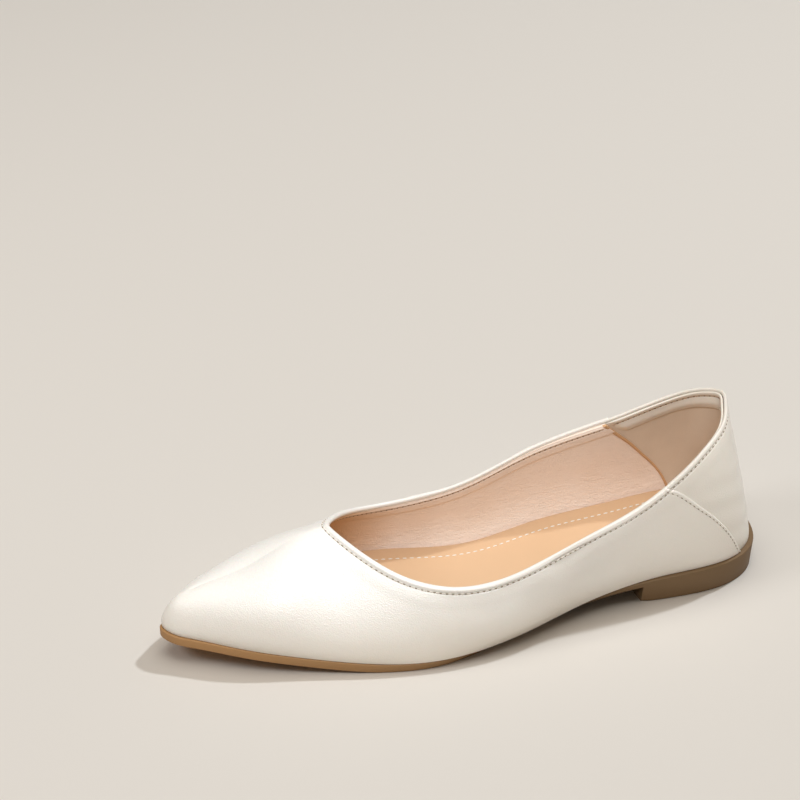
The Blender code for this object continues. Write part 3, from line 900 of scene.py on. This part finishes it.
def inner_heel():
    """Napped heel lining."""
    ups = np.linspace(0, 1, 60)
    share = np.linspace(-1, 1, 121)
    t = (lining_place(ups) + HEEL_LINING_UNDER)[:, None] * share
    skin = Skin(t, ups * HEEL_LINING_TOP)
    ends = smooth(np.abs(share), 0.90, 1.0)[None, :]
    face = skin.at(HEEL_DEPTH - END_SUNK * ends)
    back = skin.at(np.full(t.shape, LAP_STEP + PANEL + LAYER_GAP))
    build("heel_lining", closed_sheet(face, back), lining_heel, "upper")


def collar_facing():
    """Leather band inside the heel's collar, softly padded, with its own narrow rim."""
    reach = float(lining_place(1.0)) + FACING_UNDER
    t = np.linspace(-reach, reach, 241)
    distances = np.concatenate([np.linspace(FACING_BAND, 0.0011, 34), [0.0008, 0.0005]])
    ups = shares_below_rim(t, distances)
    # The lower rows end earlier, because the front lining's edge slants back.
    end = np.minimum(lining_place(ups[:, -1]), lining_place(ups[:, 0])) + FACING_UNDER
    share = t / reach
    places = end[:, None] * share
    ups = np.array([np.interp(row, t, line) for row, line in zip(places, ups, strict=True)])
    skin = Skin(places, ups)
    distance = distances[:, None] + 0 * t
    inward = 1 - smooth(np.abs(share), 0.90, 0.97)
    pad = PAD * hump(distance, PAD_LINE, PAD_HALF)
    groove = FACING_GROOVE * hump(distance, LINING_STITCH, GROOVE_HALF)
    lower = FACING_LOW * (1 - smooth(FACING_BAND - distance, 0.0, FACING_LOW_WIDTH))
    thick = (FACING_DEPTH - HEEL_DEPTH + pad - groove - lower) * inward
    face = skin.at(HEEL_DEPTH - FACING_END_SUNK * (1 - inward) + thick)
    back = skin.at(np.full(distance.shape, LAP_STEP + PANEL + FACING_BACK))
    grids = closed_sheet(face, back, rim_rows(face, back))
    build("collar_facing", grids, facing_leather, "upper")


def outline(t, offset):
    """Plan of the feather line, this far outside it."""
    row, out = feather(t)
    return row[..., :2] + out * np.asarray(offset)[..., None]


def across(t, offset, height, lanes):
    """A grid from the inner to the outer edge at each place, whose height is a function of x."""
    outer, inner = outline(t, offset), outline(-t, offset)
    share = np.linspace(0, 1, lanes + 1)[None, :, None]
    plan = inner[:, None] * (1 - share) + outer[:, None] * share
    return np.concatenate([plan, height(plan[..., 0])[..., None]], -1)


def edge_table(t, column):
    """A column of the sole's edge table, read at places t."""
    rows = table(EDGE, EDGE_COLUMNS)
    along = np.clip(feather(t)[0][..., 0] / LENGTH, 0, 1)
    return cubic(rows["along"], rows[column], along)


def sole_top(x):
    """Height of the sole's upper face, just clear of the upper."""
    return feather_height(x) - GAP


def sole_thickness(x):
    """Thickness in front of the heel block, thinnest at the waist."""
    share = np.clip((x - HEEL_LENGTH) / (0.6 * LENGTH - HEEL_LENGTH), 0, 1)
    return WAIST_THICKNESS + (SOLE_THICKNESS - WAIST_THICKNESS) * share**2 * (3 - 2 * share)


def sole_under(x):
    """Height of the sole's underside in front of the heel block."""
    return np.maximum(sole_top(x) - sole_thickness(x), 0)


def sole_levels(t, heel, taper, turns):
    """Rings of the outsole's side, with both its edges rounded."""
    edge = TOE_LIP * edge_table(t, "lip")
    under = np.zeros_like if heel else sole_under
    top = []
    low = []
    for a in turns:
        inset = EDGE_BEVEL * (1 - math.sin(a))
        drop = EDGE_BEVEL * (1 - math.cos(a))
        top.append(across(t, edge - inset, lambda x, d=drop: sole_top(x) - d, SOLE_LANES))
        low.append(across(t, edge - taper - drop, lambda x, d=inset: under(x) + d, SOLE_LANES))
    return top + low


def outsole():
    """The moulded sole: forefoot, arch and heel block."""
    breast = place_of(HEEL_LENGTH / LENGTH)
    heel_t = breast * np.sin(np.linspace(0, np.pi / 2, 60))
    fore_t = breast + (TOE - breast) * np.sin(np.linspace(0, np.pi / 2, 150))
    turns = np.linspace(0, np.pi / 2, 5)
    patches = []
    ends = []
    for t, heel in ((heel_t, True), (fore_t, False)):
        corner = np.clip((t / breast - BREAST_START) / (1 - BREAST_START), 0, 1)
        slant = UNDERCUT * np.clip(edge_table(t, "undercut"), 0, 1)
        taper = HEEL_TAPER + BREAST_ROUND * corner**2 if heel else slant
        levels = sole_levels(t, heel, taper, turns)
        patches += [levels[0], levels[-1]]
        for side in (0, -1):
            patches.append(np.stack([level[:, side] for level in levels]))
        ends.append([level[-1 if heel else 0] for level in levels])
    heel_end, fore_end = ends
    patches.append(np.stack([fore_end[-1], heel_end[-1]]))
    last = len(turns) - 1
    for lane in (0, -1):
        corners = [np.stack([ring[lane] for ring in end[last:]]) for end in (fore_end, heel_end)]
        patches.append(np.stack(corners))
    build("outsole_unit", patches, sole_rubber, "outsole", sharp=0.7)


def insole():
    """The sock on its board, slightly dished, with a soft edge against the lining."""
    t = place_of(INSOLE_END) * (1 - np.cos(np.linspace(0, np.pi, 160))) / 2
    inset = inner_depth(t) + GAP
    share = np.linspace(0, 1, INSOLE_LANES + 1)[None, :]
    rings = []
    for extra, drop in SOCK_EDGE:
        ring = across(t, -inset - extra, np.zeros_like, INSOLE_LANES)
        dish = SOCK_DISH * (2 * share - 1) ** 2
        ring[..., 2] = feather_height(ring[..., 0]) + INSOLE_THICKNESS - SOCK_SUNK + dish - drop
        rings.append(ring)
    foot = across(t, -inset, feather_height, INSOLE_LANES)
    grids = [rings[-1], foot, np.stack([foot[-1]] + [ring[-1] for ring in rings])]
    for side in (0, -1):
        grids.append(np.stack([foot[:, side]] + [ring[:, side] for ring in rings]))
    build("insole_sock", grids, insole_skin, "insole")


def dashes(name, points, normals, shape, material, phase=0.5):
    """Short capsules along a line. Shape holds their pitch, length, radius and lift over the line."""
    pitch, length, radius, lift = shape
    run = np.concatenate([[0], np.cumsum(np.linalg.norm(np.diff(points, axis=0), axis=1))])
    count = int(run[-1] // pitch)
    body = bmesh.new()
    sides = 6
    turns = np.linspace(0, np.pi, 7)
    for k in range(count):
        centre = (k + phase) * run[-1] / count
        places = centre - np.cos(turns) * length / 2
        at = np.stack([np.interp(places, run, points[:, i]) for i in range(3)], -1)
        up = np.stack([np.interp(places, run, normals[:, i]) for i in range(3)], -1)
        up /= np.linalg.norm(up, axis=1, keepdims=True)
        forward = at[-1] - at[0]
        cross = np.cross(forward / np.linalg.norm(forward), up)
        rings = []
        for p, u, c, turn in zip(at, up, cross, turns, strict=True):
            base = p + u * (lift + radius * (0.4 * math.sin(turn) - 0.25))
            girth = max(radius * math.sin(turn) ** 0.5, 1e-6)
            ring = []
            for j in range(sides):
                angle = 2 * math.pi * j / sides
                q = base + (u * math.cos(angle) + c * math.sin(angle)) * girth
                ring.append(body.verts.new((q[0] - FLOOR_X, q[1], q[2])))
            rings.append(ring)
        for low, high in zip(rings[:-1], rings[1:], strict=True):
            for j in range(sides):
                body.faces.new((low[j], low[(j + 1) % sides], high[(j + 1) % sides], high[j]))
    bmesh.ops.remove_doubles(body, verts=body.verts[:], dist=DASH_WELD)
    add_piece(name, body, material)


def sewn(name, points, normals, thread=cream_thread, hole=hole_shade):
    """A row of stitches: threads, and a dark slot painted as the shade in each hole where they go into the
    leather.
    """
    dashes(name, points, normals, STITCH, thread)
    dashes(name + "_hole_shade", points, normals, STITCH_HOLE, hole, phase=1.0)


def line_below_rim(distance, start, end, depth):
    """Points and normals of a line a set distance below the rim, from place start to place end."""
    t = np.linspace(start, end, LINE_POINTS)
    skin = Skin(t[None, :], shares_below_rim(t, [distance]))
    return skin.points[0] - skin.normals[0] * depth, skin.normals[0]


def crown_place(distance):
    """Place of the rib whose crown lies this far in front of the throat."""
    t = np.linspace(THROAT, THROAT + 0.1 * TOE, 200)
    gap = rim_distance(form(t, np.full_like(t, np.pi / 2)))
    return float(np.interp(distance, gap, t))


def topline_stitches():
    """The rows of stitches below the rim, outside and inside."""
    start = float(seam_place(0.95)) + SEAM_CLEAR
    end = THROAT - THROAT_CLEAR
    for side, name in ((1, "outer"), (-1, "inner")):
        front = side * crown_place(STITCH_LINE)
        points, normals = line_below_rim(STITCH_LINE, side * start, front, STITCH_SUNK)
        sewn(f"topline_stitches_{name}", points, normals)
        back = start + LINING_CLEAR
        points, normals = line_below_rim(LINING_STITCH, side * back, side * end, 0.0)
        depth = inner_depth(np.linspace(back, end, LINE_POINTS), 0.95)[:, None] + LINING_SUNK
        inside = points - normals * depth
        sewn(f"lining_stitches_{name}", inside, -normals, tan_thread, brown_thread)
    points, normals = line_below_rim(STITCH_LINE, -start, start, LAP_STEP + STITCH_SUNK)
    sewn("collar_stitches", points, normals)
    points, normals = line_below_rim(LINING_STITCH, -start, start, FACING_DEPTH - FACING_SUNK)
    sewn("facing_stitches", points, -normals, tan_thread, brown_thread)


def lap_stitches():
    """The rows of stitches in front of both lap seams."""
    ups = np.linspace(0.03, 0.955, 200)
    seam = seam_place(ups)
    ahead = seam + LAP_STITCH / metres_per_place(seam, ups * topline(seam))
    for side, name in ((1, "lap_stitches_outer"), (-1, "lap_stitches_inner")):
        skin = Skin(side * ahead[:, None], ups)
        points = skin.at(np.full((len(ups), 1), LAP_SUNK))
        sewn(name, points[:, 0], skin.normals[:, 0])


def insole_stitches():
    """The white row of stitches round the insole."""
    reach = THROAT * SOCK_STITCH_REACH
    plan = outline(np.linspace(-reach, reach, 900), -(WALL + SOCK_STITCH_LINE))
    height = feather_height(plan[:, 0]) + INSOLE_THICKNESS - SOCK_STITCH_SUNK
    points = np.column_stack([plan, height])
    normals = np.tile((0.0, 0.0, 1.0), (len(points), 1))
    dashes("insole_stitches", points, normals, SOCK_STITCH, white_thread)


FLOOR_HALF = 3.0
FLOOR_COLOUR = (0.84, 0.785, 0.72)
WORLD_COLOUR = (1.0, 0.90, 0.76)
WORLD_STRENGTH = 0.11
SHOE_MIDDLE = (0.1, 0.0, 0.0)
# Each lamp's name, place, aim, size, power and colour.
LAMPS = (
    ("key", (-1.59, -0.50, 2.60), SHOE_MIDDLE, 0.13, 40.0, (0.86, 0.93, 1.0)),
    ("overhead", (0.1, 0.0, 3.0), SHOE_MIDDLE, 2.6, 41.0, (1.0, 0.95, 0.88)),
    ("front", (0.30, 0.75, 1.02), SHOE_MIDDLE, 0.5, 9.0, (0.93, 0.965, 1.0)),
    ("toe", (1.16, -0.05, 0.93), (0.2, 0.0, 0.0), 0.4, 3.4, (0.95, 0.97, 1.0)),
)


def add_floor():
    """The seamless ground that the shoe stands on."""
    mesh = bpy.data.meshes.new("floor")
    corners = ((-1, -1), (1, -1), (1, 1), (-1, 1))
    mesh.from_pydata([(x * FLOOR_HALF, y * FLOOR_HALF, 0) for x, y in corners], [], [(0, 1, 2, 3)])
    floor = bpy.data.objects.new("floor", mesh)
    bpy.context.scene.collection.objects.link(floor)
    n = Nodes("floor")
    n.set(Base_Color=FLOOR_COLOUR, Roughness=0.8, Specular_IOR_Level=0.2)
    mesh.materials.append(n.material)
    return floor


def add_world():
    """Weak warm light from all round, and tones shown as they are."""
    world = bpy.data.worlds.new("world")
    bpy.context.scene.world = world
    world.use_nodes = True
    back = world.node_tree.nodes["Background"]
    back.inputs["Color"].default_value = (*WORLD_COLOUR, 1)
    back.inputs["Strength"].default_value = WORLD_STRENGTH
    bpy.context.scene.view_settings.view_transform = "Standard"


def add_lamp(name, place, aim, size, power, colour):
    """A square lamp that faces its aim."""
    data = bpy.data.lights.new(name, "AREA")
    data.size = size
    data.energy = power
    data.color = colour
    lamp = bpy.data.objects.new(name, data)
    lamp.location = place
    lamp.rotation_euler = (Vector(place) - Vector(aim)).to_track_quat("Z", "Y").to_euler()
    bpy.context.scene.collection.objects.link(lamp)
    return lamp


def add_lamps(floor):
    """All lamps. The front one lights the shoe alone, so that it doesn't wash out the shadow on the floor."""
    lamps = {row[0]: add_lamp(*row) for row in LAMPS}
    shoe = bpy.data.collections.new("lit_by_front")
    lamps["front"].light_linking.receiver_collection = shoe
    for thing in bpy.context.scene.objects:
        if thing.type == "MESH" and thing is not floor:
            shoe.objects.link(thing)


# The photograph's view, from a fit to the shoe's outline and height: no shift and no roll.
VIEW_AZIMUTH = 22.2948  # degrees
VIEW_ELEVATION = 34.6267
VIEW_DISTANCE = 0.79728
VIEW_PIVOT = (0.131 - FLOOR_X, 0.0, 0.020)
PHOTO_SIZE = 800  # pixels
PIVOT_PIXEL = (464.847, 552.391)
FOCAL_PIXELS = 1873.895
SENSOR = 36.0  # millimetres


def add_camera():
    """A camera that sees the pivot at its own pixel, level with the horizon."""
    azimuth, elevation = math.radians(VIEW_AZIMUTH), math.radians(VIEW_ELEVATION)
    level = math.cos(elevation)
    out = Vector((math.sin(azimuth) * level, math.cos(azimuth) * level, math.sin(elevation)))
    right_of, below = (pixel - PHOTO_SIZE / 2 for pixel in PIVOT_PIXEL)
    aim = Vector((right_of / FOCAL_PIXELS, -below / FOCAL_PIXELS, -1)).normalized()
    forward = -out
    for _ in range(20):
        back = -forward
        right = Vector((0, 0, 1)).cross(back).normalized()
        up = back.cross(right)
        turn = Matrix((right, up, back)).transposed()
        forward = (forward - out - turn @ aim).normalized()
    data = bpy.data.cameras.new("camera")
    data.sensor_width = SENSOR
    data.lens = FOCAL_PIXELS / PHOTO_SIZE * SENSOR
    camera = bpy.data.objects.new("camera", data)
    camera.matrix_world = Matrix.Translation(Vector(VIEW_PIVOT) + out * VIEW_DISTANCE) @ turn.to_4x4()
    bpy.context.scene.collection.objects.link(camera)
    bpy.context.scene.camera = camera


front_leather()
heel_panel()
inner_front()
inner_heel()
collar_facing()
outsole()
insole()
topline_stitches()
lap_stitches()
insole_stitches()
floor = add_floor()
add_world()
add_lamps(floor)
add_camera()
